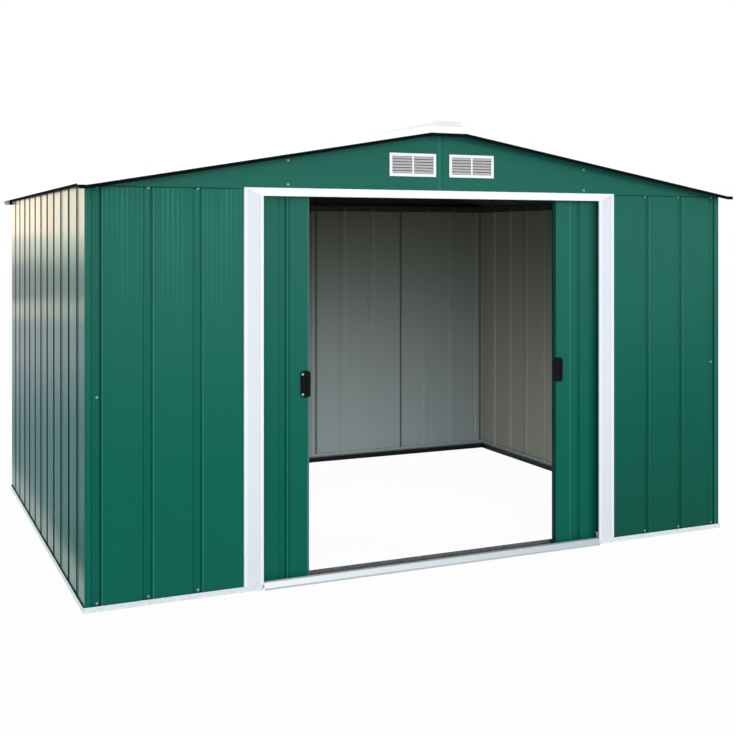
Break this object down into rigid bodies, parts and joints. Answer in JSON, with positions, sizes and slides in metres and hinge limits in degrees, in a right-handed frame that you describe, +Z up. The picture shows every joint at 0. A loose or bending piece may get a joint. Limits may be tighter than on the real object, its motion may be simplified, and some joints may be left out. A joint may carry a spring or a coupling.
{
  "type": "metal storage shed",
  "caption": "Ribbed sheet-metal garden shed with a low gable roof, white door frame and trims, louvred gable vents and sliding doors on tracks.",
  "frame": {"origin": "on the floor, under the middle of the shed's whole plan, roof overhangs included", "axes": "+X along the front wall to the right seen from outside, +Y from the front wall to the back wall, +Z up"},
  "size_m": [3.22, 2.5, 1.9723],
  "materials": {
    "green_coat": "satin dark green coil coat over galvanised sheet",
    "roof_coat": "satin dark green coil coat",
    "white_coat": "smooth white coat",
    "galvanised_steel": "bright galvanised",
    "inner_rail": "dull galvanised",
    "dark_rail": "dark coat",
    "black_plastic": "moulded",
    "white_plastic": "moulded"
  },
  "bodies": {
    "shed": {"back_edge_rail": "dark_rail", "back_gable_left": "green_coat", "back_gable_right": "green_coat", "back_trim_left": "white_coat", "back_trim_right": "white_coat", "back_wall": "green_coat", "base_rail_back": "galvanised_steel", "base_rail_front_left": "galvanised_steel", "base_rail_front_right": "galvanised_steel", "base_rail_left": "galvanised_steel", "base_rail_right": "galvanised_steel", "corner_back_left": "green_coat", "corner_back_right": "green_coat", "corner_front_left": "green_coat", "corner_front_right": "green_coat", "door_jamb_left": "white_coat", "door_jamb_right": "white_coat", "door_lintel": "white_coat", "door_sill": "galvanised_steel", "eave_corner_caps": "white_plastic", "eave_trim_left": "white_coat", "eave_trim_right": "white_coat", "front_edge_rail": "dark_rail", "front_gable_left": "green_coat", "front_gable_right": "green_coat", "front_trim_left": "white_coat", "front_trim_right": "white_coat", "front_wall_left": "green_coat", "front_wall_right": "green_coat", "left_edge_rail": "dark_rail", "left_wall": "green_coat", "lower_door_track": "dark_rail", "purlin_left": "inner_rail", "purlin_right": "inner_rail", "ridge_beam": "inner_rail", "ridge_cap": "roof_coat", "ridge_end_caps": "white_plastic", "right_edge_rail": "dark_rail", "right_wall": "green_coat", "roof_left": "roof_coat", "roof_right": "roof_coat", "top_rail_back": "inner_rail", "top_rail_left": "inner_rail", "top_rail_right": "inner_rail", "upper_door_track": "inner_rail", "vent_left": "white_plastic", "vent_right": "white_plastic"},
    "left_door": {"left_door": "green_coat", "left_door_handle": "black_plastic", "left_door_runners": "black_plastic"},
    "right_door": {"right_door": "green_coat", "right_door_handle": "black_plastic", "right_door_runners": "black_plastic"}
  },
  "joints": [
    {"name": "left_door_slide", "type": "slide", "parent": "shed", "child": "left_door", "axis": [1, 0, 0], "range_m": [0, 0.613]},
    {"name": "right_door_slide", "type": "slide", "parent": "shed", "child": "right_door", "axis": [-1, 0, 0], "range_m": [0, 0.613]}
  ]
}
